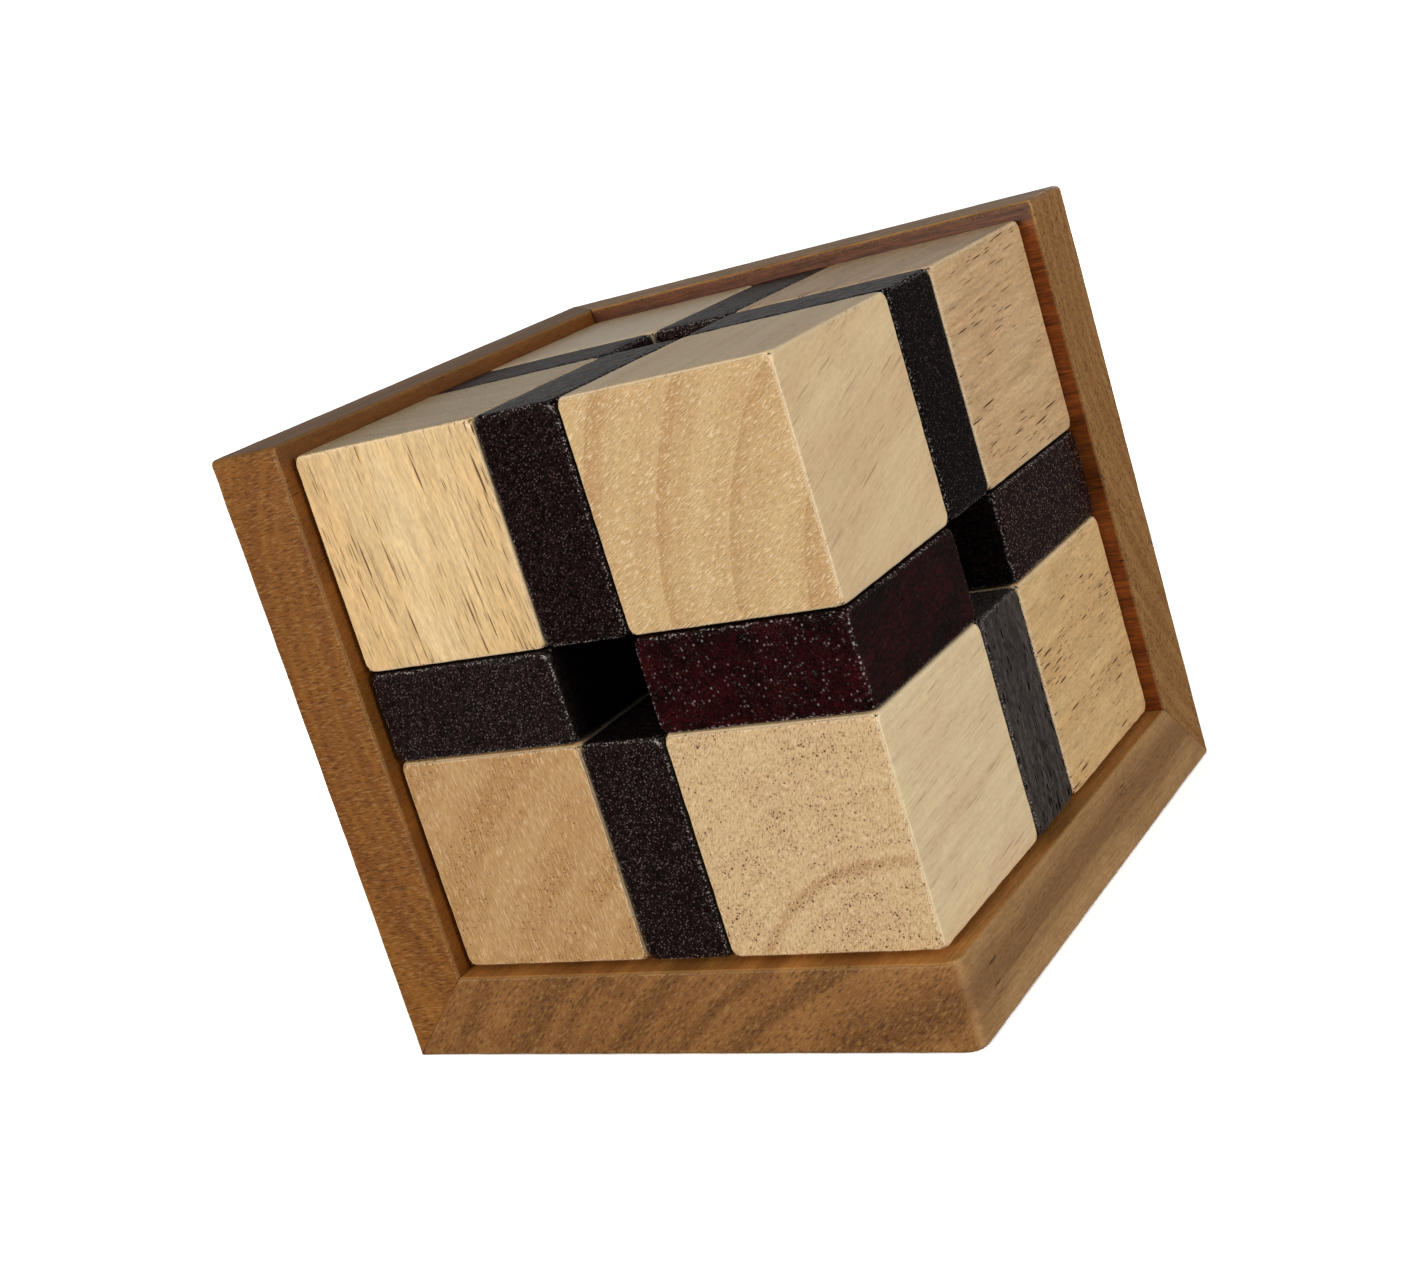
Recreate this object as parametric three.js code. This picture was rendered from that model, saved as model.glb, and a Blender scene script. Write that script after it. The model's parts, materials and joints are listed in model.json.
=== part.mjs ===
// A packing puzzle: a cube built up from eight glued pieces, seated in a corner tray of three mitred boards.
// Eight light cubes stand at the corners of the big cube. Twelve dark slabs fill the spaces between neighbouring
// cubes, so a square hole is left at the middle of each face and the three holes cross inside.
// Millimetres, +Z up. The tray's closed corner is at low X, high Y and low Z, and its open sides face +X, -Y and +Z.

import * as THREE from 'three';
import { ConvexGeometry } from 'three/addons/geometries/ConvexGeometry.js';
import { RoundedBoxGeometry } from 'three/addons/geometries/RoundedBoxGeometry.js';

// Blocks
const cubeSide = 28;
const slabThick = 11.7;
const blockRound = 1;
const roundSteps = 2;

// Gaps: a glued seam, the play between two pieces, and the play between the big cube and the tray
const glueLine = 0.05;
const piecePlay = 0.2;
const seatGap = 0.4;

// Tray boards
const boardThick = 11;
const rimProud = 2;
const mitreGlue = 0.05;
const rimEase = 0.8;
const cornerEase = 2;

// Worked out from the sizes above
const slot = slabThick + glueLine + piecePlay;
const bigCube = 2 * cubeSide + slot;
const boardSpan = boardThick + seatGap + bigCube + rimProud;

// Each glued piece is one cube and the slabs on it. side says which corner the cube fills, as its signs toward
// +X, toward -Y and up, and reach gives the axes along which a slab stands between it and its neighbour.
const pieces = [
  { side: [-1, -1, 1], reach: ['x', 'y'], tint: 0xcdb289 },
  { side: [-1, 1, 1], reach: ['x'], tint: 0xe5c795 },
  { side: [1, 1, 1], reach: [], tint: 0xd0aa7c },
  { side: [1, -1, 1], reach: ['y'], tint: 0xbf9d74 },
  { side: [-1, -1, -1], reach: ['x', 'y', 'z'], tint: 0xc9a678 },
  { side: [-1, 1, -1], reach: ['x', 'z'], tint: 0xba9161 },
  { side: [1, 1, -1], reach: ['z'], tint: 0xccac83 },
  { side: [1, -1, -1], reach: ['y', 'z'], tint: 0xb99769 },
];
const axes = ['x', 'y', 'z'];
const slabStain = 0x2a1d1a;
const boardStain = 0x83592f;

function lightWood(tint) {
  return new THREE.MeshStandardMaterial({ color: tint, roughness: 0.55, metalness: 0 });
}

function darkWood() {
  return new THREE.MeshStandardMaterial({ color: slabStain, roughness: 0.35, metalness: 0 });
}

function boardWood() {
  return new THREE.MeshStandardMaterial({ color: boardStain, roughness: 0.5, metalness: 0 });
}

function named(name, geometry, material) {
  const mesh = new THREE.Mesh(geometry, material);
  mesh.name = name;
  return mesh;
}

// The big cube is measured from its middle, toward +X, toward -Y and up.
function fromMiddle(x, y, z) {
  return new THREE.Vector3(x, -y, z);
}

function levelName(side) {
  return side[2] > 0 ? 'top' : 'base';
}

function columnName(side) {
  if (side[0] > 0) {
    return side[1] > 0 ? 'near' : 'right';
  }
  return side[1] > 0 ? 'left' : 'far';
}

function cube(piece) {
  const geometry = new RoundedBoxGeometry(cubeSide, cubeSide, cubeSide, roundSteps, blockRound);
  const mesh = named(`cube_${levelName(piece.side)}_${columnName(piece.side)}`, geometry, lightWood(piece.tint));
  const middle = (slot + cubeSide) / 2;
  mesh.position.copy(fromMiddle(...piece.side.map((sign) => sign * middle)));
  return mesh;
}

// A slab is glued to its own cube, so it sits off the middle of the slot by half of what the two gaps differ.
function slab(piece, axis) {
  const along = axes.indexOf(axis);
  const size = [cubeSide, cubeSide, cubeSide];
  size[along] = slabThick;
  const neighbour = [...piece.side];
  neighbour[along] *= -1;
  const end = axis === 'z' ? levelName(neighbour) : columnName(neighbour);
  const name = `slab_${levelName(piece.side)}_${columnName(piece.side)}_to_${end}`;
  const mesh = named(name, new RoundedBoxGeometry(...size, roundSteps, blockRound), darkWood());
  const middle = piece.side.map((sign) => (sign * (slot + cubeSide)) / 2);
  middle[along] = (piece.side[along] * (piecePlay - glueLine)) / 2;
  mesh.position.copy(fromMiddle(...middle));
  return mesh;
}

function gluedPiece(piece) {
  const group = new THREE.Group();
  group.add(cube(piece));
  for (const axis of piece.reach) {
    group.add(slab(piece, axis));
  }
  return group;
}

// The floor board, with the tray's closed corner at the origin. Two edges are mitred at 45 degrees, so they draw in
// as the board rises, and the other two are the rims, with eased edges and a rounded corner between them.
function boardGeometry() {
  const setBack = mitreGlue / Math.SQRT2;
  const levels = [
    { height: 0, drawIn: rimEase },
    { height: rimEase, drawIn: 0 },
    { height: boardThick - rimEase, drawIn: 0 },
    { height: boardThick, drawIn: rimEase },
  ];
  const points = [];
  for (const { height, drawIn } of levels) {
    const low = height + setBack;
    const high = boardSpan - drawIn;
    points.push(fromMiddle(low, low, height));
    points.push(fromMiddle(high, low, height));
    points.push(fromMiddle(low, high, height));
    points.push(fromMiddle(high, high - cornerEase, height));
    points.push(fromMiddle(high - cornerEase, high, height));
  }
  return new ConvexGeometry(points);
}

// The three boards are one shape, turned a third of a turn about the diagonal through the closed corner.
function tray() {
  const group = new THREE.Group();
  const diagonal = fromMiddle(1, 1, 1).normalize();
  const thirdTurn = (2 * Math.PI) / 3;
  const turns = { tray_floor: 0, tray_left_wall: -thirdTurn, tray_back_wall: thirdTurn };
  for (const [name, turn] of Object.entries(turns)) {
    const board = named(name, boardGeometry(), boardWood());
    board.quaternion.setFromAxisAngle(diagonal, turn);
    group.add(board);
  }
  return group;
}

const bigCubeGroup = new THREE.Group();
for (const piece of pieces) {
  bigCubeGroup.add(gluedPiece(piece));
}
const toMiddle = boardThick + seatGap + bigCube / 2;
bigCubeGroup.position.copy(fromMiddle(toMiddle, toMiddle, toMiddle));

// The origin is under the middle of the tray, on the surface it stands on.
const puzzle = new THREE.Group();
puzzle.add(tray(), bigCubeGroup);
puzzle.position.set(-boardSpan / 2, boardSpan / 2, 0);

export default puzzle;
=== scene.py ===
import json
import math

import bmesh
import bpy
from mathutils import Matrix, Vector


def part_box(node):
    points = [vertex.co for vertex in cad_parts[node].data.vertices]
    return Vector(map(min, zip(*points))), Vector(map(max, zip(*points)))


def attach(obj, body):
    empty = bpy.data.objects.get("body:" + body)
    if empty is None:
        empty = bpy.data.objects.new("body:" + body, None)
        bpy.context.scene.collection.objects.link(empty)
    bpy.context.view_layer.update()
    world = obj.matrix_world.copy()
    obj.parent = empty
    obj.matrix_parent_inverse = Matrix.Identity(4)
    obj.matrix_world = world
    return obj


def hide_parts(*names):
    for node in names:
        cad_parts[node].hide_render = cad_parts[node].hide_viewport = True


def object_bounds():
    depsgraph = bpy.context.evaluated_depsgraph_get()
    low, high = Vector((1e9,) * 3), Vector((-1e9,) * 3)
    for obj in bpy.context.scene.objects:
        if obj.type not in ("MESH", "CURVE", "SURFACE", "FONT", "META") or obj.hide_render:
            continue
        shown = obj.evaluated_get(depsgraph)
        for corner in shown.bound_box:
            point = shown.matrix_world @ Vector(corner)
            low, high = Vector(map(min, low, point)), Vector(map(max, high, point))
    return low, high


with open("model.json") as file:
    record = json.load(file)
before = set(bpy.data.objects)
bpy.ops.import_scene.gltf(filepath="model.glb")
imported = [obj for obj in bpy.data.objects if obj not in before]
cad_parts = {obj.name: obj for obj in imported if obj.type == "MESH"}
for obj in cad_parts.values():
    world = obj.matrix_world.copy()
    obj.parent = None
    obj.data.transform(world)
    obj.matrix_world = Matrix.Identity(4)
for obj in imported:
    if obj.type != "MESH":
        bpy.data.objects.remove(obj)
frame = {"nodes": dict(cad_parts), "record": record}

# A big cube of sanded light blocks and dark stained slabs, seated in a corner tray of three mitred boards.
# Every place and size of a piece comes from the frame; the numbers below are finishes, cuts and light.

mm = 0.001
cadLow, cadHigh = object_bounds()
middle = (cadLow + cadHigh) / 2
bodyOf = {node: body for body, nodes in frame["record"]["behaviour"]["bodies"].items() for node in nodes}


def linear(hexColour):
    shares = [int(hexColour[i:i + 2], 16) / 255 for i in (1, 3, 5)]
    return (*[c / 12.92 if c <= 0.04045 else ((c + 0.055) / 1.055) ** 2.4 for c in shares], 1)


def addNode(tree, kind, settings=None, inputs=None):
    # settings are the node's own options; an input is a number, a colour, a socket,
    # or a node, which stands for its first output
    node = tree.nodes.new("ShaderNode" + kind)
    for name, value in (settings or {}).items():
        setattr(node, name, value)
    for name, value in (inputs or {}).items():
        if isinstance(value, bpy.types.Node):
            value = value.outputs[0]
        if isinstance(value, bpy.types.NodeSocket):
            tree.links.new(value, node.inputs[name])
        else:
            node.inputs[name].default_value = value
    return node


multiply = {"operation": "MULTIPLY"}
multiplyAdd = {"operation": "MULTIPLY_ADD"}
smooth = {"interpolation_type": "SMOOTHSTEP"}


def span(end, pair):
    # the two inputs that set one end of a Map Range node, which is "From" or "To"
    return {end + " Min": pair[0], end + " Max": pair[1]}


def cellScale(width, run):
    # the scale of a pattern whose cells are this wide across the fibres and this long along them, in mm
    return (1 / width, 1 / width, 1 / run)


def newMaterial(name):
    material = bpy.data.materials.new(name)
    material.use_nodes = True
    material.node_tree.nodes.clear()
    return material


def direction(azimuth, elevation):
    # azimuth 0 is the open front, 90 the open right side, both as seen from above
    a, e = math.radians(azimuth), math.radians(elevation)
    return Vector((math.sin(a) * math.cos(e), -math.cos(a) * math.cos(e), math.sin(e)))


# Camera: close, from the front right, and tipped so that the tray leans to the left
cameraView = {
    "azimuth": 34.42,
    "elevation": 12.16,
    "roll": -17.17,
    "distance": 272.5 * mm,
    "aim": Vector((-2.4, 0.1, 6.6)) * mm,
    "lens": 52.8,
    "shiftY": -0.042,
}


def setCamera(view):
    camera = bpy.data.objects.new("camera", bpy.data.cameras.new("camera"))
    bpy.context.scene.collection.objects.link(camera)
    back = direction(view["azimuth"], view["elevation"])
    camera.location = middle + view["aim"] + back * view["distance"]
    level = (-back).to_track_quat("-Z", "Y").to_matrix()
    camera.rotation_euler = (level @ Matrix.Rotation(math.radians(view["roll"]), 3, "Z")).to_euler()
    camera.data.lens = view["lens"]
    camera.data.shift_y = view["shiftY"]
    camera.data.clip_start = 5 * mm
    camera.data.clip_end = 20
    bpy.context.scene.camera = camera


setCamera(cameraView)
print("camera set")

# Studio: a white floor that fades into a white surround, a warm key light from the front left, a softer fill
# from the right, and two cool lights behind for the sides turned away from the open corner
studio = {
    "floorSize": 6.0,
    "floorColour": "#f4f2ef",
    "surround": "#ffffff",
    "surroundStrength": 1.05,
    "dome": "#b8c6de",
    "domeStrength": 0.31,
    "mirrored": "#dcdad6",
    "mirroredStrength": (0.12, 0.66),       # of the dim room and of the pale band in it
    "bandFoot": (-0.04, 0.12),              # where the band fades in and out, 0 on the horizon, 1 overhead
    "bandHead": (0.50, 0.24),
    "floorLight": 4.4,
    "floorLightSpread": 120,
    "lights": [
        {"name": "key", "azimuth": -8, "elevation": 12, "distance": 0.70, "side": 0.22, "watts": 4.0,
         "colour": "#fff1e2"},
        {"name": "fill", "azimuth": 88, "elevation": 10, "distance": 0.80, "side": 0.40, "watts": 4.0,
         "colour": "#fff6ec"},
        {"name": "backLeft", "azimuth": 262, "elevation": 5, "distance": 0.80, "side": 0.18, "watts": 3.0,
         "colour": "#eef3ff"},
        {"name": "backRight", "azimuth": 188, "elevation": 5, "distance": 0.80, "side": 0.18, "watts": 3.0,
         "colour": "#eef3ff"},
    ],
}


def makeFloor(look):
    bpy.ops.mesh.primitive_plane_add(size=look["floorSize"], location=(0, 0, 0))
    floor = bpy.context.object
    floor.name = "floor"
    paper = newMaterial("mattePaper")        # rolled out matte paper: no gloss, no grain at this distance
    tree = paper.node_tree
    face = addNode(tree, "BsdfDiffuse", {}, {"Color": linear(look["floorColour"]), "Roughness": 1.0})
    addNode(tree, "OutputMaterial", {}, {"Surface": face})
    floor.data.materials.append(paper)
    # the paper throws no light back up and isn't mirrored in the lacquer, as if it were far away
    floor.visible_diffuse = False
    floor.visible_glossy = False
    return floor


def makeSurround(look):
    world = bpy.data.worlds.new("surround")
    bpy.context.scene.world = world
    world.use_nodes = True
    tree = world.node_tree
    tree.nodes.clear()
    seen = addNode(tree, "Background", {}, {
        "Color": linear(look["surround"]), "Strength": look["surroundStrength"]})
    dome = addNode(tree, "Background", {}, {
        "Color": linear(look["dome"]), "Strength": look["domeStrength"]})
    # the lacquer mirrors a pale band just above the horizon, and a dim room above and below it
    aim = addNode(tree, "TexCoord")
    height = addNode(tree, "SeparateXYZ", {}, {"Vector": aim.outputs["Generated"]})
    bandFoot = addNode(tree, "MapRange", smooth, {
        "Value": height.outputs["Z"], **span("From", look["bandFoot"])})
    bandHead = addNode(tree, "MapRange", smooth, {
        "Value": height.outputs["Z"], **span("From", look["bandHead"])})
    band = addNode(tree, "Math", multiply, {0: bandFoot, 1: bandHead})
    bandLight = addNode(tree, "MapRange", {}, {"Value": band, **span("To", look["mirroredStrength"])})
    mirrored = addNode(tree, "Background", {}, {"Color": linear(look["mirrored"]), "Strength": bandLight})
    path = addNode(tree, "LightPath")
    lit = addNode(tree, "MixShader", {}, {0: path.outputs["Is Glossy Ray"], 1: dome, 2: mirrored})
    shown = addNode(tree, "MixShader", {}, {0: path.outputs["Is Camera Ray"], 1: lit, 2: seen})
    addNode(tree, "OutputWorld", {}, {"Surface": shown})


def makeLights(look, floor):
    for light in look["lights"]:
        lamp = bpy.data.lights.new(light["name"], "AREA")
        lamp.size = light["side"]
        lamp.energy = light["watts"]
        lamp.color = linear(light["colour"])[:3]
        holder = bpy.data.objects.new(light["name"], lamp)
        bpy.context.scene.collection.objects.link(holder)
        back = direction(light["azimuth"], light["elevation"])
        holder.location = middle + back * light["distance"]
        holder.rotation_euler = (-back).to_track_quat("-Z", "Y").to_euler()
    sun = bpy.data.lights.new("floorLight", "SUN")     # it lights the floor alone, which keeps that white
    sun.energy = look["floorLight"]
    sun.angle = math.radians(look["floorLightSpread"])
    above = bpy.data.objects.new("floorLight", sun)
    bpy.context.scene.collection.objects.link(above)
    floorOnly = bpy.data.collections.new("floorOnly")
    floorOnly.objects.link(floor)
    above.light_linking.receiver_collection = floorOnly


floor = makeFloor(studio)
makeSurround(studio)
makeLights(studio, floor)
bpy.context.scene.view_settings.view_transform = "Standard"
print("studio set")


# Modelling helpers: one piece is edited at a time, and everything else is left unselected
def addBox(name, low, high):
    bpy.ops.object.select_all(action="DESELECT")
    bpy.ops.mesh.primitive_cube_add(size=1, location=(low + high) / 2, scale=high - low)
    piece = bpy.context.object
    piece.name = name
    piece.data.name = name
    bpy.ops.object.transform_apply(location=True, rotation=False, scale=True)
    return piece


def pickEdges(piece, wanted):
    bpy.ops.mesh.select_mode(type="EDGE")
    bpy.ops.mesh.select_all(action="DESELECT")
    form = bmesh.from_edit_mesh(piece.data)
    for edge in form.edges:
        edge.select_set(wanted(edge.verts[0].co, edge.verts[1].co))
    bmesh.update_edit_mesh(piece.data)


def cutGrid(low, high, gap):
    # thin cuts right across, about gap apart each way, that give the sanding something to move
    for axis in range(3):
        normal = Vector([float(axis == i) for i in range(3)])
        count = max(2, round((high[axis] - low[axis]) / gap))
        for step in range(1, count):
            place = low.lerp(high, step / count)
            bpy.ops.mesh.select_all(action="SELECT")
            bpy.ops.mesh.bisect(plane_co=place, plane_no=normal, use_fill=False)


def markEdges(piece, faceDistances, reach):
    # nearEdge runs from 0 on the open faces to 1 on the edges; edgeZone is the same for the sanding
    inFromEdge = [sorted(faceDistances(vertex.co))[1] for vertex in piece.data.vertices]
    shares = [min(1.0, max(0.0, 1 - distance / reach)) for distance in inFromEdge]
    zone = piece.vertex_groups.new(name="edgeZone")
    for index, share in enumerate(shares):
        zone.add([index], share, "REPLACE")
    piece.data.attributes.new("nearEdge", "FLOAT", "POINT").data.foreach_set("value", shares)


def copyPiece(master, name, matrix):
    piece = master.copy()
    piece.data = master.data.copy()
    piece.name = name
    piece.data.name = name
    bpy.context.scene.collection.objects.link(piece)
    piece.data.transform(matrix)
    return piece


def sandPiece(piece, look):
    # a slow waviness all over and small nicks on the edges, both only ever inward
    bpy.ops.object.select_all(action="DESELECT")
    bpy.context.view_layer.objects.active = piece
    piece.select_set(True)
    for name, zone in (("wave", ""), ("nick", "edgeZone")):
        texture = bpy.data.textures.new(name + piece.data.name, "CLOUDS")
        texture.noise_scale = look[name + "Size"]
        texture.noise_depth = 1
        move = piece.modifiers.new(name, "DISPLACE")
        move.texture = texture
        move.texture_coords = "LOCAL"
        move.mid_level = 1.0
        move.strength = look[name + "Depth"]
        move.vertex_group = zone
        bpy.ops.object.modifier_apply(modifier=move.name)
    bpy.ops.object.shade_smooth()
    even = piece.modifiers.new("evenShading", "WEIGHTED_NORMAL")
    even.keep_sharp = True
    bpy.ops.object.modifier_apply(modifier=even.name)


# Blocks: light cubes and dark slabs, sawn, then tumbled so that corners wear more than edges
blockShape = {
    "cornerClip": 1.0 * mm,
    "edgeRound": 0.5 * mm,
    "roundSteps": 4,
    "cutGap": 1.4 * mm,
    "wearReach": 1.1 * mm,
    "waveSize": 11 * mm,
    "waveDepth": 0.05 * mm,
    "nickSize": 1.3 * mm,
    "nickDepth": 0.16 * mm,
}


def makeBlock(name, size, look):
    low, high = -size / 2, size / 2
    block = addBox(name, low, high)
    bpy.ops.object.mode_set(mode="EDIT")
    bpy.ops.mesh.select_all(action="SELECT")
    bpy.ops.mesh.bevel(offset=look["cornerClip"], segments=1, affect="VERTICES")
    bpy.ops.mesh.select_all(action="SELECT")
    bpy.ops.mesh.bevel(offset=look["edgeRound"], segments=look["roundSteps"], profile=0.5, affect="EDGES")
    cutGrid(low, high, look["cutGap"])
    bpy.ops.object.mode_set(mode="OBJECT")
    markEdges(block, lambda co: [h - abs(c) for h, c in zip(high, co)], look["wearReach"])
    return block


def sizeOf(node):
    low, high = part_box(node)
    return high - low


cubeMaster = makeBlock("cubeMaster", sizeOf("cube_top_near"), blockShape)
slabMaster = makeBlock("slabMaster", sizeOf("slab_top_left_to_near"), blockShape)
slabTurns = {      # the master slab is thin along X
    0: Matrix.Identity(4),
    1: Matrix.Rotation(math.radians(90), 4, "Z"),
    2: Matrix.Rotation(math.radians(90), 4, "Y"),
}

pieces = {}
for node in sorted(frame["nodes"]):
    if node.startswith("tray"):
        continue
    low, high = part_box(node)
    size = high - low
    thin = min(range(3), key=lambda axis: size[axis])
    master = cubeMaster if node.startswith("cube") else slabMaster
    turn = Matrix.Identity(4) if node.startswith("cube") else slabTurns[thin]
    piece = copyPiece(master, node.replace("cube", "sanded_cube").replace("slab", "stained_slab"),
                      Matrix.Translation((low + high) / 2) @ turn)
    sandPiece(piece, blockShape)
    pieces[node] = piece
bpy.data.objects.remove(cubeMaster)
bpy.data.objects.remove(slabMaster)
print("blocks made:", len(pieces))

# Tray: a floor board, mitred along the two edges that meet its neighbours, made three times over, and two of
# the three turned about the closed corner to be the walls
boardShape = {
    "floorCorner": 2.2 * mm,
    "wallCorner": 0.8 * mm,
    "cornerSteps": 6,
    "rimRound": 0.5 * mm,
    "roundSteps": 4,
    "cutGap": 2.7 * mm,
    "wearReach": 1.2 * mm,
    "waveSize": 17 * mm,
    "waveDepth": 0.03 * mm,
    "nickSize": 1.6 * mm,
    "nickDepth": 0.14 * mm,
    "sharpAngle": 40,
}
closedCorner = Vector((cadLow.x, cadHigh.y, cadLow.z))
thirdTurn = math.radians(120)


def makeBoard(name, look, cornerRound):
    low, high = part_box("tray_floor")
    board = addBox(name, low, high)
    bpy.ops.object.mode_set(mode="EDIT")
    for outward in (Vector((-1, 0, 1)), Vector((0, 1, 1))):
        bpy.ops.mesh.select_all(action="SELECT")
        bpy.ops.mesh.bisect(plane_co=closedCorner, plane_no=outward.normalized(), use_fill=True,
                            clear_outer=True)
    near = 0.01 * mm
    pickEdges(board, lambda a, b: min(a.x, b.x) > high.x - near and max(a.y, b.y) < low.y + near)
    bpy.ops.mesh.bevel(offset=cornerRound, segments=look["cornerSteps"], profile=0.5, affect="EDGES")
    pastCorner = cornerRound * 1.01
    pickEdges(board, lambda a, b: abs(a.z - b.z) < near and (
        max(a.y, b.y) < low.y + pastCorner or min(a.x, b.x) > high.x - pastCorner))
    bpy.ops.mesh.bevel(offset=look["rimRound"], segments=look["roundSteps"], profile=0.5, affect="EDGES")
    cutGrid(low, high, look["cutGap"])
    bpy.ops.mesh.select_all(action="DESELECT")
    bpy.ops.mesh.edges_select_sharp(sharpness=math.radians(look["sharpAngle"]))
    bpy.ops.mesh.mark_sharp()
    bpy.ops.object.mode_set(mode="OBJECT")
    markEdges(board, lambda co: [high.x - co.x, co.y - low.y, co.z - low.z, high.z - co.z],
              look["wearReach"])
    return board


for node, turn, corner in (("tray_floor", 0, "floorCorner"), ("tray_left_wall", -thirdTurn, "wallCorner"),
                           ("tray_back_wall", thirdTurn, "wallCorner")):
    piece = makeBoard(node.replace("tray", "mitred"), boardShape, boardShape[corner])
    aboutCorner = Matrix.Translation(closedCorner) @ Matrix.Rotation(turn, 4, Vector((1, -1, 1)))
    piece.data.transform(aboutCorner @ Matrix.Translation(-closedCorner))
    sandPiece(piece, boardShape)
    pieces[node] = piece
print("tray made")


# Wood: every piece is cut from its own stretch of a log, so the grain runs through it and out of every side.
# The log's frame is in millimetres: x runs out from the pith, y round it and z along the fibres.
def growPores(tree, fibres, crowding, gap, run, width):
    # long thin vessels: dashes along the fibres, dots across them, each with its own width and depth of tone
    fullTone = 0.4         # the share of a pore's width before its edge starts to fade
    cells = addNode(tree, "VectorMath", multiply, {0: fibres, 1: cellScale(gap, run)})
    vessels = addNode(tree, "TexVoronoi", {}, {"Vector": cells, "Scale": 1})
    luck = addNode(tree, "SeparateColor", {}, {"Color": vessels.outputs["Color"]})
    reach = addNode(tree, "Math", multiply, {0: luck.outputs["Red"], 1: width / (2 * gap)})
    core = addNode(tree, "Math", multiply, {0: reach, 1: fullTone})
    dash = addNode(tree, "MapRange", {}, {
        "Value": vessels.outputs["Distance"], **span("From", (reach, core))})
    tone = addNode(tree, "Math", multiply, {0: luck.outputs["Green"], 1: crowding})
    return addNode(tree, "Math", {"operation": "MULTIPLY", "use_clamp": True}, {0: dash, 1: tone})


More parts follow.
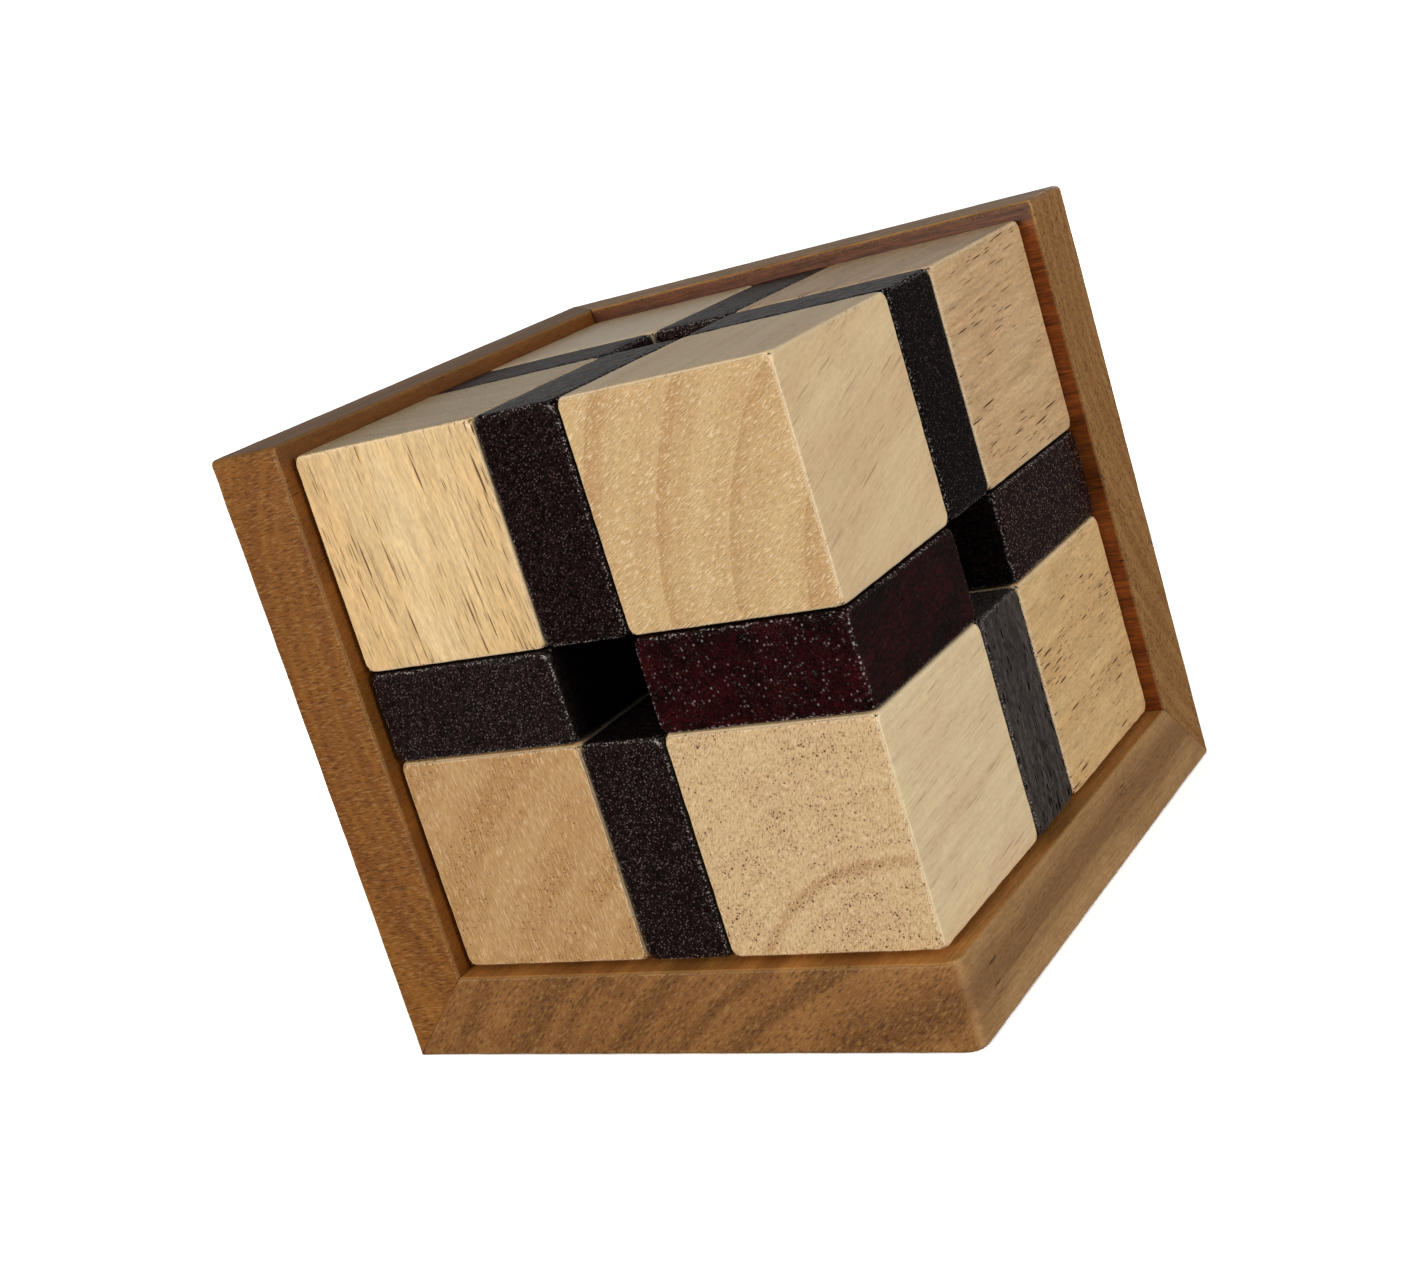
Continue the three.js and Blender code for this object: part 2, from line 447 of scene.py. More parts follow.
def growWood(tree, look, centre):
    grain = Vector(look["grain"]).normalized()
    toPith = Vector(look["pith"])
    outward = -(toPith - toPith.dot(grain) * grain).normalized()
    turn = Matrix((outward, grain.cross(outward), grain))
    shift = Vector((look["ringRadius"], 0, look["slice"])) - turn @ (centre / mm)
    place = addNode(tree, "TexCoord")
    log = addNode(tree, "Mapping", {}, {
        "Vector": place.outputs["Object"], "Scale": Vector((1, 1, 1)) / mm, "Rotation": turn.to_euler(),
        "Location": shift})

    # the log isn't straight: its fibres wander a little to the sides as they climb
    slow = addNode(tree, "VectorMath", multiply, {
        0: log, 1: cellScale(look["swayWidth"], look["swayRun"])})
    sway = addNode(tree, "TexNoise", {}, {"Vector": slow, "Scale": 1, "Detail": 1})
    sideways = addNode(tree, "VectorMath", {"operation": "SUBTRACT"}, {
        0: sway.outputs["Color"], 1: (0.5, 0.5, 0.5)})
    fibres = addNode(tree, "VectorMath", multiplyAdd, {
        0: sideways, 1: (look["sway"], look["sway"], 0), 2: log})

    # growth rings: soft bands of uneven width and, on each, one thin darker line
    across = addNode(tree, "VectorMath", multiply, {0: fibres, 1: (1, 1, 0)})
    radius = addNode(tree, "VectorMath", {"operation": "LENGTH"}, {0: across})
    bandPlace = addNode(tree, "Math", {"operation": "DIVIDE"}, {
        0: radius.outputs["Value"], 1: look["bandGap"]})
    bandNoise = addNode(tree, "TexNoise", {"noise_dimensions": "1D"}, {
        "W": bandPlace, "Scale": 1, "Detail": 2})
    bands = addNode(tree, "MapRange", smooth, {
        "Value": bandNoise.outputs["Fac"], **span("From", look["bandSpan"])})
    ringPlace = addNode(tree, "Math", {"operation": "SUBTRACT"}, {
        0: radius.outputs["Value"], 1: look["ringAt"]})
    ringTurn = addNode(tree, "Math", {"operation": "DIVIDE"}, {0: ringPlace, 1: look["ringGap"]})
    ringShare = addNode(tree, "Math", {"operation": "FRACT"}, {0: ringTurn})
    ringStart = 1 - look["ringWidth"] / look["ringGap"]
    rising = addNode(tree, "MapRange", smooth, {
        "Value": ringShare, **span("From", (ringStart, look["ringEnd"]))})
    ending = addNode(tree, "MapRange", {}, {"Value": ringShare, **span("From", (1, look["ringEnd"]))})
    ringLine = addNode(tree, "Math", multiply, {0: rising, 1: ending})

    # fibres: fine streaks, short flecks, and slower clouds of a second tone
    fine = addNode(tree, "VectorMath", multiply, {
        0: fibres, 1: cellScale(look["fibreWidth"], look["fibreRun"])})
    streaks = addNode(tree, "TexNoise", {}, {"Vector": fine, "Scale": 1, "Detail": 4, "Roughness": 0.78})
    fleckStretch = addNode(tree, "VectorMath", multiply, {
        0: fibres, 1: cellScale(look["fleckWidth"], look["fleckRun"])})
    flecks = addNode(tree, "TexNoise", {}, {"Vector": fleckStretch, "Scale": 1, "Detail": 1})
    broad = addNode(tree, "VectorMath", multiply, {
        0: fibres, 1: cellScale(look["cloudWidth"], look["cloudRun"])})
    clouds = addNode(tree, "TexNoise", {}, {"Vector": broad, "Scale": 1, "Detail": 3})

    # pores: a few bold ones and many faint ones, darker in some stretches than in others
    crowd = addNode(tree, "MapRange", {}, {
        "Value": clouds.outputs["Fac"], **span("From", look["crowdSpan"]), **span("To", look["crowd"])})
    inRows = addNode(tree, "MapRange", {}, {"Value": bands, **span("To", look["crowdInBands"])})
    crowding = addNode(tree, "Math", multiply, {0: crowd, 1: inRows})
    boldSize = (look["poreGap"], look["poreRun"], look["poreWidth"])
    faintSize = [bold * share for bold, share in zip(boldSize, look["faintShares"])]
    boldPores = growPores(tree, fibres, crowding, *boldSize)
    faintPores = growPores(tree, fibres, crowding, *faintSize)
    pores = addNode(tree, "Math", {"operation": "MULTIPLY_ADD", "use_clamp": True}, {
        0: faintPores, 1: look["faintPores"], 2: boldPores})

    # end grain: the faces that the fibres run out of, where the sander leaves short scuffs, raised and sunk
    lean = addNode(tree, "VectorMath", {"operation": "DOT_PRODUCT"}, {0: place.outputs["Normal"], 1: grain})
    steep = addNode(tree, "Math", {"operation": "ABSOLUTE"}, {0: lean.outputs["Value"]})
    endGrain = addNode(tree, "MapRange", smooth, {"Value": steep, **span("From", look["endSpan"])})
    scuffTurn = addNode(tree, "VectorRotate", {"rotation_type": "Z_AXIS"}, {
        "Vector": log, "Angle": math.radians(look["scuffTurn"])})
    scuffStretch = addNode(tree, "VectorMath", multiply, {
        0: scuffTurn, 1: (1 / look["scuffWidth"], 1 / look["scuffRun"], 1 / look["scuffWidth"])})
    scuffs = addNode(tree, "TexNoise", {}, {
        "Vector": scuffStretch, "Scale": 1, "Detail": 1.5, "Roughness": 0.5})
    ringShown = addNode(tree, "MapRange", {}, {"Value": endGrain, **span("To", (look["longRings"], 1))})
    ringLine = addNode(tree, "Math", multiply, {0: ringLine, 1: ringShown})

    # pale edges: a line along the edges, broken up by the scuffs, partly wear from handling and partly a
    # painted highlight on the rounded edges
    near = addNode(tree, "Attribute", {"attribute_name": "nearEdge"})
    broken = addNode(tree, "Math", multiplyAdd, {
        0: scuffs.outputs["Fac"], 1: look["wornBreak"], 2: near.outputs["Fac"]})
    worn = addNode(tree, "MapRange", smooth, {"Value": broken, **span("From", look["wornSpan"])})

    return {
        "place": place, "log": log, "bands": bands, "ringLine": ringLine, "pores": pores,
        "streaks": streaks.outputs["Fac"], "flecks": flecks.outputs["Fac"], "clouds": clouds.outputs["Fac"],
        "endGrain": endGrain, "scuffs": scuffs.outputs["Fac"], "worn": worn,
    }


def blend(tree, amount, strength, under, over, how="MIX"):
    share = addNode(tree, "Math", {"operation": "MULTIPLY", "use_clamp": True}, {0: amount, 1: strength})
    mixed = addNode(tree, "Mix", {"data_type": "RGBA", "blend_type": how}, {0: share, 6: under, 7: over})
    return mixed.outputs["Result"]


def shadeWood(tree, wood, look, tone):
    # streaks and flecks along the fibres on the long faces; dark sunk and pale raised scuffs on the end grain
    streakDepths = (1 - look["streakShade"], 1 + look["streakShade"] * look["streakLift"])
    streakShade = addNode(tree, "MapRange", {}, {
        "Value": wood["streaks"], **span("From", look["streakSpan"]), **span("To", streakDepths)})
    fleckDepths = (1 - look["fleckShade"], 1 + look["fleckShade"])
    fleckShade = addNode(tree, "MapRange", {}, {
        "Value": wood["flecks"], **span("From", look["fleckSpan"]), **span("To", fleckDepths)})
    fibreShade = addNode(tree, "Math", multiply, {0: streakShade, 1: fleckShade})
    shaded = addNode(tree, "VectorMath", {"operation": "SCALE"}, {0: tone, "Scale": fibreShade})
    # scuff tones: partly the fibres' own, partly painted highlight on raised and painted shade in sunk scuffs
    sunkDepths = (1, 1 - look["sunkScuffs"])
    sunk = addNode(tree, "MapRange", smooth, {
        "Value": wood["scuffs"], **span("From", look["sunkSpan"]), **span("To", sunkDepths)})
    scuffed = addNode(tree, "VectorMath", {"operation": "SCALE"}, {0: tone, "Scale": sunk})
    raised = addNode(tree, "MapRange", smooth, {"Value": wood["scuffs"], **span("From", look["raisedSpan"])})
    scuffed = blend(tree, raised, look["raisedScuffs"], scuffed.outputs[0], linear(look["wornColour"]))
    return blend(tree, wood["endGrain"], 1, shaded.outputs[0], scuffed)


def showPores(tree, wood, look):
    amount = addNode(tree, "MapRange", {}, {
        "Value": wood["endGrain"], **span("To", (look["longPores"], look["endPores"]))})
    return addNode(tree, "Math", multiply, {0: wood["pores"], 1: amount})


def raiseGrain(tree, wood, look, poresShown):
    # heights in millimetres: ridges between the fibres, fur on the end grain, and the pores' hollows
    furShare = addNode(tree, "Math", multiply, {0: wood["scuffs"], 1: wood["endGrain"]})
    fur = addNode(tree, "Math", multiply, {0: furShare, 1: look["furHeight"]})
    hollows = addNode(tree, "Math", multiplyAdd, {0: poresShown, 1: -look["poreDepth"], 2: fur})
    height = addNode(tree, "Math", multiplyAdd, {0: wood["streaks"], 1: look["fibreHeight"], 2: hollows})
    return addNode(tree, "Bump", {}, {"Height": height, "Distance": mm})


# Sanded rubberwood, no stain and one thin coat of wax: a pale cream wood with short brown pores that catch
# dirt, satin on its long sides, and darker, furry and duller where the fibres end. Widths, gaps, runs and
# depths are in millimetres, and a span is the stretch of a pattern's values over which it fades in.
rubberwood = {
    "sway": 1.6,                         # how far the fibres wander, and the width and run of one wander
    "swayWidth": 22,
    "swayRun": 60,
    "bandGap": 2.6,
    "bandSpan": (0.36, 0.64),
    "ringGap": 14,
    "ringAt": 3,
    "ringWidth": 2.5,
    "ringEnd": 0.985,                    # the share of the gap at which a ring is darkest and starts to end
    "longRings": 0.3,                    # how much of the rings shows on the long faces
    "poreGap": 0.4,
    "poreRun": 9,
    "poreWidth": 0.38,
    "faintPores": 0.75,
    "faintShares": (0.55, 0.4, 0.6),     # gap, run and width of a faint pore against a bold one
    "crowdSpan": (0.36, 0.56),
    "crowd": (0.35, 1.2),                # the pores' depth of tone in sparse and in crowded stretches
    "crowdInBands": (0.5, 1.5),
    "fibreWidth": 0.8,
    "fibreRun": 9,
    "fleckWidth": 0.32,
    "fleckRun": 0.9,
    "cloudWidth": 5,
    "cloudRun": 14,
    "cloudSpan": (0.4, 0.7),
    "endSpan": (0.55, 0.9),              # how squarely the fibres have to meet a face to make it end grain
    "scuffTurn": 45,
    "scuffWidth": 0.18,
    "scuffRun": 1.2,
    "sunkSpan": (0.46, 0.30),
    "raisedSpan": (0.56, 0.67),
    # the pale edge line is partly wear and partly a painted highlight on the rounded edges
    "wornBreak": 0.9,                    # how much the scuffs break up the pale line of a worn edge
    "wornSpan": (0.95, 1.35),
    "pale": "#ecd3a3",
    "deep": "#dfbf8e",
    "blush": "#e2bf92",
    "poreColour": "#623e1c",
    "ringColour": "#c0935f",
    "endTint": "#e8e4da",
    "wornColour": "#f6e2bc",
    "blushStrength": 0.55,
    "wornStrength": 0.6,
    "longPores": 1,
    "endPores": 0.25,
    "bandStrength": 0.5,
    "ringStrength": 0.5,
    "streakSpan": (0.3, 0.7),
    "streakShade": 0.18,
    "streakLift": 0.8,                   # how much pale streaks lighten, against how much dark ones darken
    "fleckSpan": (0.32, 0.68),
    "fleckShade": 0.09,
    "raisedScuffs": 0.32,
    "sunkScuffs": 0.2,
    "fibreHeight": 0.05,
    "furHeight": 0.22,
    "poreDepth": 0.07,
    "longRough": 0.46,
    "endRough": 0.62,
    "streakRough": 0.16,
    "ior": 1.48,
    "shine": 0.42,
    "wax": 0.25,
    "waxRough": 0.32,
    "waxIor": 1.45,
}


def sandedRubberwood(name, look, centre):
    material = newMaterial(name)
    tree = material.node_tree
    wood = growWood(tree, look, centre)
    tone = blend(tree, wood["bands"], look["bandStrength"], linear(look["pale"]), linear(look["deep"]))
    cloudy = addNode(tree, "MapRange", {}, {"Value": wood["clouds"], **span("From", look["cloudSpan"])})
    tone = blend(tree, cloudy, look["blushStrength"], tone, linear(look["blush"]))
    tone = blend(tree, wood["ringLine"], look["ringStrength"], tone, linear(look["ringColour"]))
    tone = blend(tree, wood["endGrain"], 1, tone, linear(look["endTint"]), "MULTIPLY")
    tone = shadeWood(tree, wood, look, tone)
    tone = blend(tree, wood["worn"], look["wornStrength"], tone, linear(look["wornColour"]))
    poresShown = showPores(tree, wood, look)
    tone = blend(tree, poresShown, 1, tone, linear(look["poreColour"]))
    duller = addNode(tree, "MapRange", {}, {
        "Value": wood["endGrain"], **span("To", (look["longRough"], look["endRough"]))})
    rough = addNode(tree, "Math", {"operation": "MULTIPLY_ADD", "use_clamp": True}, {
        0: wood["streaks"], 1: look["streakRough"], 2: duller})
    relief = raiseGrain(tree, wood, look, poresShown)
    skin = addNode(tree, "BsdfPrincipled", {}, {
        "Base Color": tone, "Roughness": rough, "Normal": relief, "IOR": look["ior"],
        "Specular IOR Level": look["shine"], "Coat Weight": look["wax"],
        "Coat Roughness": look["waxRough"], "Coat IOR": look["waxIor"]})
    addNode(tree, "OutputMaterial", {}, {"Surface": skin})
    return material


# Rubberwood stained nearly black and lacquered: the stain takes unevenly along the fibres, and the lacquer
# leaves the pores bare and dries in glossy grains; the small bright points on a dark face are partly the
# grains' real gloss and partly painted glints in their colour
stain = {
    **rubberwood,
    "poreGap": 0.45,
    "poreRun": 3.2,
    "poreWidth": 0.4,
    "dark": "#070303",
    "thin": "#1f1212",
    "poreColour": "#020101",
    "streakSpan": (0.35, 0.7),
    "fleckSpan": (0.34, 0.68),
    "mottle": 0.5,
    "longPores": 0.9,
    "grainColour": "#6a5a57",
    "glintColour": "#d2ccc8",
    "glintStrength": 0.6,
    "grainGap": 0.28,
    "grainSpan": (0.5, 0.08),
    "grainShare": 0.95,
    "grainAmount": 0.9,
    "longGrains": 0.3,
    "grainHeight": 0.018,
    "ripple": 0.018,
    "clotSize": 1.8,
    "clotHeight": 0.4,
    "pitDepth": 0.03,
    "gloss": 0.2,
    "dull": 0.42,
    "bareRough": 0.9,
    "ior": 1.5,
    "shine": 0.25,
}


def stainedLacquer(name, look, centre):
    material = newMaterial(name)
    tree = material.node_tree
    wood = growWood(tree, look, centre)
    streaky = addNode(tree, "MapRange", {}, {"Value": wood["streaks"], **span("From", look["streakSpan"])})
    tone = blend(tree, streaky, 1, linear(look["dark"]), linear(look["thin"]))
    mottleDepths = (1 - look["mottle"], 1 + 2 * look["mottle"])
    mottle = addNode(tree, "MapRange", {}, {
        "Value": wood["flecks"], **span("From", look["fleckSpan"]), **span("To", mottleDepths)})
    tone = addNode(tree, "VectorMath", {"operation": "SCALE"}, {0: tone, "Scale": mottle}).outputs[0]
    tone = blend(tree, wood["pores"], look["longPores"], tone, linear(look["poreColour"]))

    # dried grains of lacquer: little domes all over, some higher than others, with paler specks that are
    # partly their own tone and partly painted glints
    grainCells = addNode(tree, "TexVoronoi", {}, {"Vector": wood["log"], "Scale": 1 / look["grainGap"]})
    grainLuck = addNode(tree, "SeparateColor", {}, {"Color": grainCells.outputs["Color"]})
    grainDome = addNode(tree, "MapRange", smooth, {
        "Value": grainCells.outputs["Distance"], **span("From", look["grainSpan"])})
    grainPick = addNode(tree, "MapRange", {}, {
        "Value": grainLuck.outputs["Red"], **span("From", (1 - look["grainShare"], 1))})
    speckAndGlintTone = addNode(tree, "Math", {"operation": "POWER"}, {0: grainPick, 1: 2})
    speckAndGlintMask = addNode(tree, "Math", multiply, {0: grainDome, 1: speckAndGlintTone})
    specksAndGlintsShown = addNode(tree, "MapRange", {}, {
        "Value": wood["endGrain"], **span("To", (look["longGrains"], look["grainAmount"]))})
    tone = blend(tree, speckAndGlintMask, specksAndGlintsShown, tone, linear(look["grainColour"]))
    # painted highlights: pale dots along the edges, standing in for the lacquer's reflections on the rounded
    # edges
    glints = addNode(tree, "Math", multiply, {0: wood["worn"], 1: grainDome})
    tone = blend(tree, glints, look["glintStrength"], tone, linear(look["glintColour"]))

    # the lacquer is glossy on its grains and on the end grain, dull between them, and missing from the pores
    raised = addNode(tree, "Math", multiply, {0: grainDome, 1: grainPick})
    shiny = addNode(tree, "Math", {"operation": "MAXIMUM"}, {0: raised, 1: wood["endGrain"]})
    lacquered = addNode(tree, "MapRange", {}, {
        "Value": shiny, **span("To", (look["dull"], look["gloss"]))})
    bare = addNode(tree, "Math", multiply, {0: wood["pores"], 1: look["longPores"]})
    rough = addNode(tree, "MapRange", {}, {"Value": bare, **span("To", (lacquered, look["bareRough"]))})

    # heights in millimetres: the grains, the scuffs under them, the pores' pits, and clots on the long faces
    bumps = addNode(tree, "Math", multiply, {0: raised, 1: look["grainHeight"]})
    ripple = addNode(tree, "Math", multiplyAdd, {0: wood["scuffs"], 1: look["ripple"], 2: bumps})
    pits = addNode(tree, "Math", multiplyAdd, {0: wood["pores"], 1: -look["pitDepth"], 2: ripple})
    clots = addNode(tree, "TexNoise", {}, {
        "Vector": wood["log"], "Scale": 1 / look["clotSize"], "Detail": 3, "Roughness": 0.65})
    clotHeight = addNode(tree, "MapRange", {}, {
        "Value": wood["endGrain"], **span("To", (look["clotHeight"], 0))})
    heights = addNode(tree, "Math", multiplyAdd, {0: clots.outputs["Fac"], 1: clotHeight, 2: pits})
    relief = addNode(tree, "Bump", {}, {"Height": heights, "Distance": mm})
    skin = addNode(tree, "BsdfPrincipled", {}, {
        "Base Color": tone, "Roughness": rough, "Normal": relief, "IOR": look["ior"],
        "Specular IOR Level": look["shine"]})
    addNode(tree, "OutputMaterial", {}, {"Surface": skin})
    return material


# Oiled acacia, planed and rubbed: warm mid brown with open dark pores, lighter and darker streaks along the
# grain, and a deeper orange tone on the faces that look into the tray
acacia = {
    **rubberwood,
    "sway": 3,
    "bandGap": 4,
    "ringGap": 9,
    "ringWidth": 3,
    "poreGap": 0.5,
    "poreRun": 4,
    "poreWidth": 0.34,
    "fibreWidth": 0.4,
    "fibreRun": 9,
    "scuffTurn": 0,
    "scuffWidth": 0.3,
    "scuffRun": 1.0,
    "pale": "#98703c",
    "deep": "#775026",
    "blush": "#83592f",
    "poreColour": "#3c200d",
    "ringColour": "#5e3a1e",
    "endTint": "#efe0cc",
    "wornColour": "#a5834f",
    "innerTint": "#fbe0ac",
    "innerSpan": (0.7, 0.95),            # how squarely a face has to look inward to take that tint
    "handled": 0,
    "handledColour": "#3f2413",
    "handledHeight": (78 * mm, 79 * mm),
    "longPores": 0.75,
    "endPores": 0.5,
    "bandStrength": 0.7,
    "ringStrength": 0.2,
    "blushStrength": 0.6,
    "wornStrength": 0.35,
    "streakShade": 0.22,
    "fleckShade": 0.12,
    "raisedScuffs": 0.4,
    "sunkScuffs": 0.45,
    "fibreHeight": 0.06,
    "furHeight": 0.16,
    "poreDepth": 0.08,
    "dryRough": 0.52,
    "oiledRough": 0.40,
    "shine": 0.3,
}


def oiledAcacia(name, look, centre):
    material = newMaterial(name)
    tree = material.node_tree
    wood = growWood(tree, look, centre)
    tone = blend(tree, wood["bands"], look["bandStrength"], linear(look["pale"]), linear(look["deep"]))
    cloudy = addNode(tree, "MapRange", {}, {"Value": wood["clouds"], **span("From", look["cloudSpan"])})
    tone = blend(tree, cloudy, look["blushStrength"], tone, linear(look["blush"]))
    tone = blend(tree, wood["ringLine"], look["ringStrength"], tone, linear(look["ringColour"]))
    tone = blend(tree, wood["endGrain"], 1, tone, linear(look["endTint"]), "MULTIPLY")
    facing = addNode(tree, "VectorMath", {"operation": "DOT_PRODUCT"}, {
        0: wood["place"].outputs["Normal"], 1: look["inward"]})
    inner = addNode(tree, "MapRange", {}, {
        "Value": facing.outputs["Value"], **span("From", look["innerSpan"])})
    tone = blend(tree, inner, 1, tone, linear(look["innerTint"]), "MULTIPLY")
    # painted shade: the strip of an inner face that stands above the blocks is darkened, standing in for the
    # shade on it
    spot = addNode(tree, "SeparateXYZ", {}, {"Vector": wood["place"].outputs["Object"]})
    nearRimTop = addNode(tree, "MapRange", {}, {
        "Value": spot.outputs["Z"], **span("From", look["handledHeight"])})
    handled = addNode(tree, "Math", multiply, {0: inner, 1: nearRimTop})
    tone = blend(tree, handled, look["handled"], tone, linear(look["handledColour"]))
    tone = shadeWood(tree, wood, look, tone)
    tone = blend(tree, wood["worn"], look["wornStrength"], tone, linear(look["wornColour"]))
    poresShown = showPores(tree, wood, look)
    tone = blend(tree, poresShown, 1, tone, linear(look["poreColour"]))
    rough = addNode(tree, "MapRange", {}, {
        "Value": wood["streaks"], **span("From", look["streakSpan"]),
        **span("To", (look["dryRough"], look["oiledRough"]))})
    relief = raiseGrain(tree, wood, look, poresShown)
    skin = addNode(tree, "BsdfPrincipled", {}, {
        "Base Color": tone, "Roughness": rough, "Normal": relief, "IOR": look["ior"],
        "Specular IOR Level": look["shine"]})
    addNode(tree, "OutputMaterial", {}, {"Surface": skin})
    return material


# What sets each piece apart: the way its grain runs, where its pith lies and how far off, the stretch of the
# log it is cut from, and its own tones. The front is -Y, the right side +X and the top +Z.
grainBack = {"grain": (0.03, 1, 0.05), "pith": (1, 0, 0.5), "ringRadius": 60}
grainAcross = {"grain": (1, 0.04, 0.03), "pith": (0, 1, 0.5), "ringRadius": 60}
cuts = {
    "cube_top_left": {
        "grain": (-0.09, 0.02, 1), "pith": (0.3, 1, 0), "ringRadius": 60, "slice": 10, "ringStrength": 0,
        "pale": "#e6cd9b", "deep": "#cfab72", "blush": "#dab87d", "wax": 0.7, "poreWidth": 0.42,
        "streakShade": 0.22},
    "cube_top_near": {
        "grain": (0.02, 1, 0.30), "pith": (1, 0, -0.3), "ringRadius": 42, "slice": 90, "ringGap": 9,
        "ringWidth": 4, "ringStrength": 0.45, "longPores": 0.4, "endPores": 0.12, "endTint": "#e6dfd0",
        "scuffTurn": -42, "scuffWidth": 0.15, "scuffRun": 1.5, "raisedScuffs": 0.6, "streakShade": 0.09,
        "fleckShade": 0.05},
    "cube_top_right": {
        "grain": (0.02, 1, 0.05), "pith": (-1, 0, -0.8), "ringRadius": 70, "slice": 170, "pale": "#dab98a",
        "deep": "#cba473", "blush": "#cfa577", "poreRun": 8, "poreGap": 0.4, "poreWidth": 0.3,
        "faintPores": 0.6, "streakShade": 0.24, "longPores": 1.5},
    "cube_top_far": {
        "grain": (0.05, 1, 0.02), "pith": (0.2, 0, -1), "ringRadius": 55, "slice": 250, "longPores": 0.4,
        "wax": 0.8},
    "cube_base_left": {
        "grain": (0.04, 1, 0.03), "pith": (1, 0, -0.9), "ringRadius": 75, "slice": 330, "pale": "#d1ae7b",
        "deep": "#c0965f", "blush": "#c39964", "ringStrength": 0, "bandGap": 6, "bandStrength": 0.7,
        "endPores": 0.8},
    "cube_base_near": {
        "grain": (0.03, 1, 0.08), "pith": (0.4, 0, -0.91), "ringRadius": 27.9, "slice": 410, "ringAt": 24.5,
        "ringGap": 40, "ringWidth": 2, "pale": "#efdaab", "deep": "#e3c695", "blush": "#e6c59c",
        "endTint": "#e3dad2", "bandGap": 1.5, "bandStrength": 0.35, "longPores": 0.35, "endPores": 1.2,
        "scuffWidth": 0.2, "scuffRun": 0.6, "raisedScuffs": 0.4, "sunkScuffs": 0.32, "streakShade": 0.09,
        "fleckShade": 0.05},
    "cube_base_right": {
        "grain": (0.02, 1, 0.05), "pith": (-1, 0, 0.5), "ringRadius": 65, "slice": 490, "pale": "#e2be85",
        "deep": "#d3a86d", "blush": "#d7ab72", "poreGap": 0.36, "poreRun": 4.4, "poreWidth": 0.3,
        "faintPores": 0.6, "streakShade": 0.2, "longPores": 1.6},
    "cube_base_far": {
        "grain": (0.03, 0.05, 1), "pith": (1, 1, 0), "ringRadius": 48, "slice": 570},
    "slab_top_left_to_near": {
        **grainBack, "slice": 20, "dark": "#050202", "thin": "#1b100f", "dull": 0.34, "clotHeight": 0.5,
        "longGrains": 0.9, "shine": 0.1},
    "slab_top_right_to_near": {
        **grainAcross, "slice": 110, "dark": "#050303", "thin": "#140b09", "dull": 0.34, "clotHeight": 0.5,
        "longGrains": 0.9, "shine": 0.12},
    "slab_top_far_to_right": {**grainBack, "slice": 200},
    "slab_top_far_to_left": {**grainAcross, "slice": 290},
    "slab_base_left_to_top": {**grainBack, "slice": 380, "thin": "#1f1415", "grainColour": "#7a6e6c"},
    "slab_base_near_to_top": {
        **grainBack, "grain": (0.03, 1, 0.25), "slice": 470, "dark": "#0a0202", "thin": "#2a0708",
        "fibreWidth": 6, "fibreRun": 12, "grainGap": 0.42, "grainShare": 0.28, "grainColour": "#8a8185",
        "longGrains": 0.12, "shine": 0.14},
    "slab_base_right_to_top": {
        **grainAcross, "slice": 560, "dark": "#0a0505", "thin": "#23110f", "grainColour": "#a08676",
        "grainAmount": 1, "shine": 0.18},
    "slab_base_left_to_near": {
        **grainBack, "slice": 650, "thin": "#190d0b", "grainColour": "#7a6c6a", "grainAmount": 1},
    # this slab's grey tones are painted sheen: a lighter stain standing in for the lacquer's reflection on
    # its long face
    "slab_base_right_to_near": {
        "grain": (0.02, 0.04, 1), "pith": (0, 1, 0), "ringRadius": 60, "slice": 740, "dark": "#302b28",
        "thin": "#524c47", "shine": 0.1, "poreGap": 0.5, "poreRun": 1.5, "poreWidth": 0.6,
        "faintPores": 0.25, "longPores": 2.4, "mottle": 0.25, "pitDepth": 0.16, "clotHeight": 0.1},
    "slab_base_far_to_left": {**grainBack, "slice": 830},
    "slab_base_far_to_right": {**grainBack, "slice": 920},
    "slab_base_far_to_top": {**grainBack, "slice": 1010},
    "tray_floor": {
        "grain": (0.02, 1, 0.01), "pith": (0.8, 0, -1), "ringRadius": 95, "slice": 40, "inward": (0, 0, 1),
        "pale": "#b58c5c", "deep": "#7a552f", "blush": "#8f683d", "endTint": "#d0bfa2", "ringStrength": 0,
        "bandGap": 5},
    "tray_left_wall": {
        "grain": (0.01, 1, 0.02), "pith": (1, 0, 0.1), "ringRadius": 80, "slice": 240, "inward": (1, 0, 0),
        "pale": "#95692f", "deep": "#74491c", "blush": "#7f5427", "endTint": "#f3e2c0", "handled": 0.35,
        "ringStrength": 0, "scuffTurn": 90, "scuffWidth": 0.24, "scuffRun": 1.2},
    "tray_back_wall": {
        "grain": (1, 0.02, 0.01), "pith": (0, 1, 0.4), "ringRadius": 80, "slice": 440, "inward": (0, -1, 0),
        "pale": "#b28b58", "deep": "#996c3b", "blush": "#9e7342", "innerTint": "#f6ae70", "handled": 0.84,
        "ringStrength": 0, "bandGap": 2, "streakShade": 0.7, "fibreWidth": 0.55, "scuffWidth": 0.22,
        "scuffRun": 0.7, "raisedScuffs": 0.6, "sunkScuffs": 0.6},
}

finishes = {
    "cube": {"make": sandedRubberwood, "look": rubberwood, "slot": "pale_block"},
    "slab": {"make": stainedLacquer, "look": stain, "slot": "dark_slab"},
    "tray": {"make": oiledAcacia, "look": acacia, "slot": "tray_board"},
}

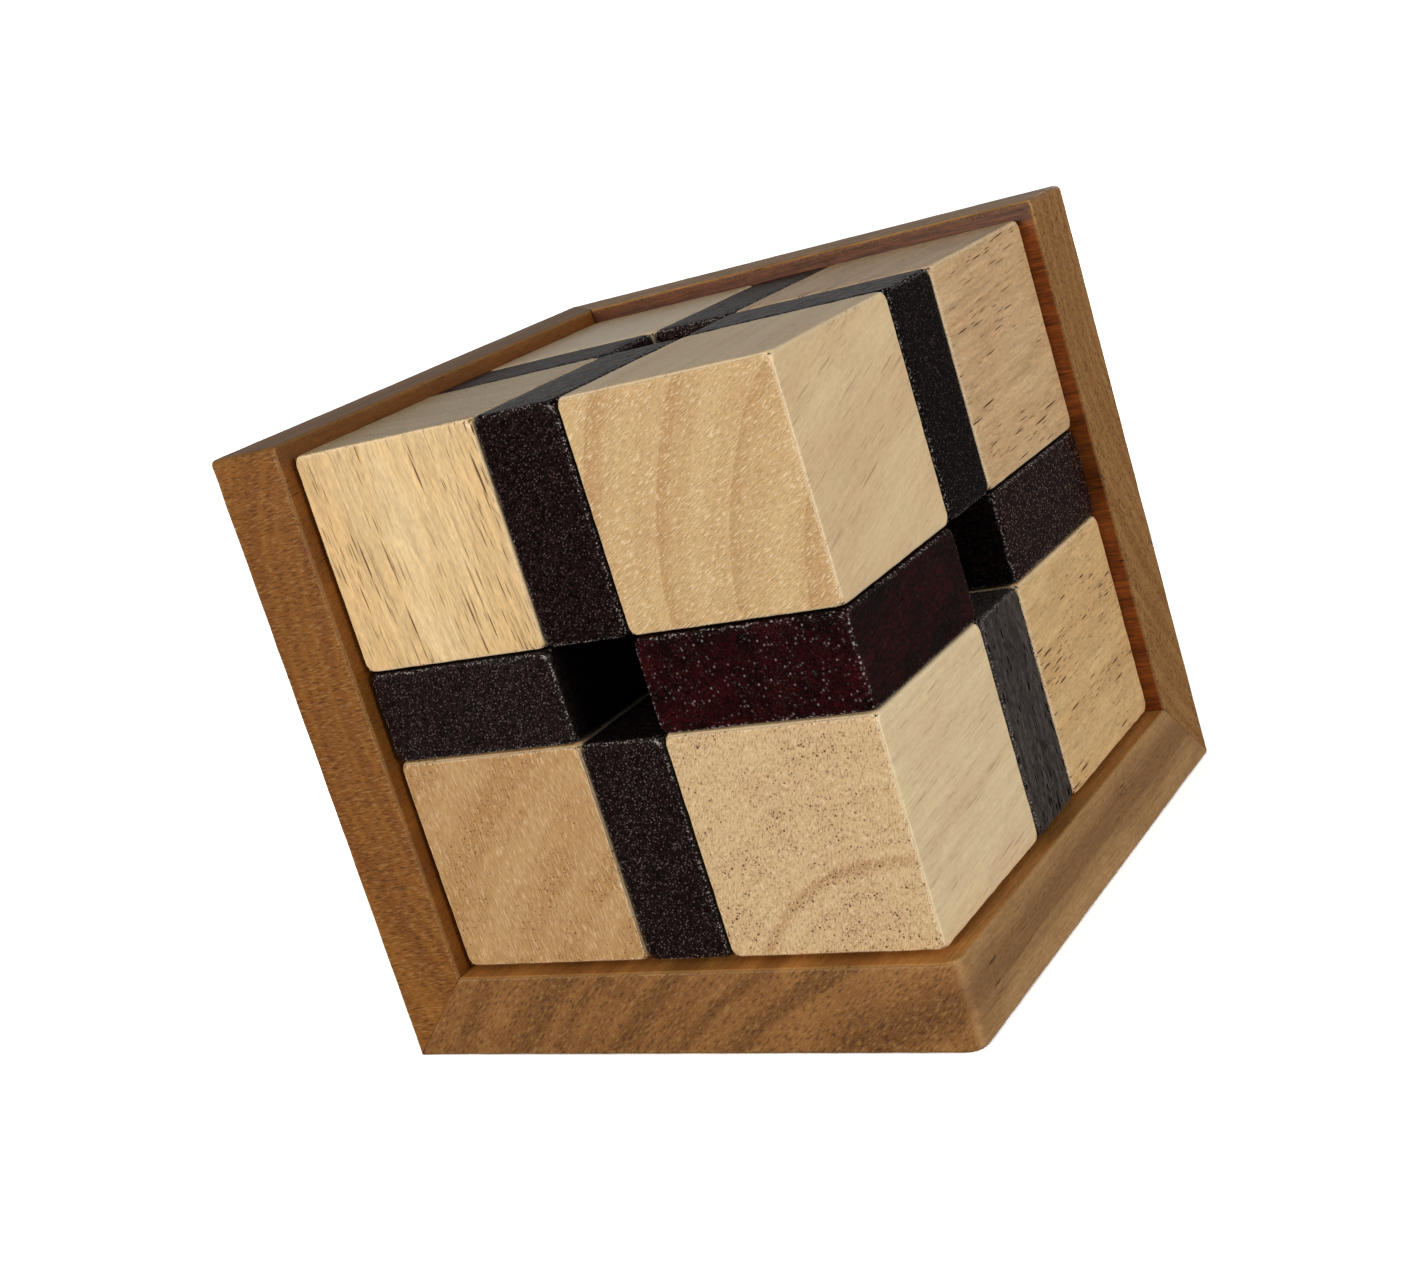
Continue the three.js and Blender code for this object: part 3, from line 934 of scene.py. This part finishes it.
for node, piece in pieces.items():
    finish = finishes[node.split("_")[0]]
    makeFinish = finish["make"]
    look = {**finish["look"], **cuts[node]}
    low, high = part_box(node)
    material = makeFinish(f"{makeFinish.__name__}_{node}", look, (low + high) / 2)
    piece.data.materials.clear()
    piece.data.materials.append(material)
    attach(piece, bodyOf[node])
    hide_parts(node)
print("finishes set and pieces riding")
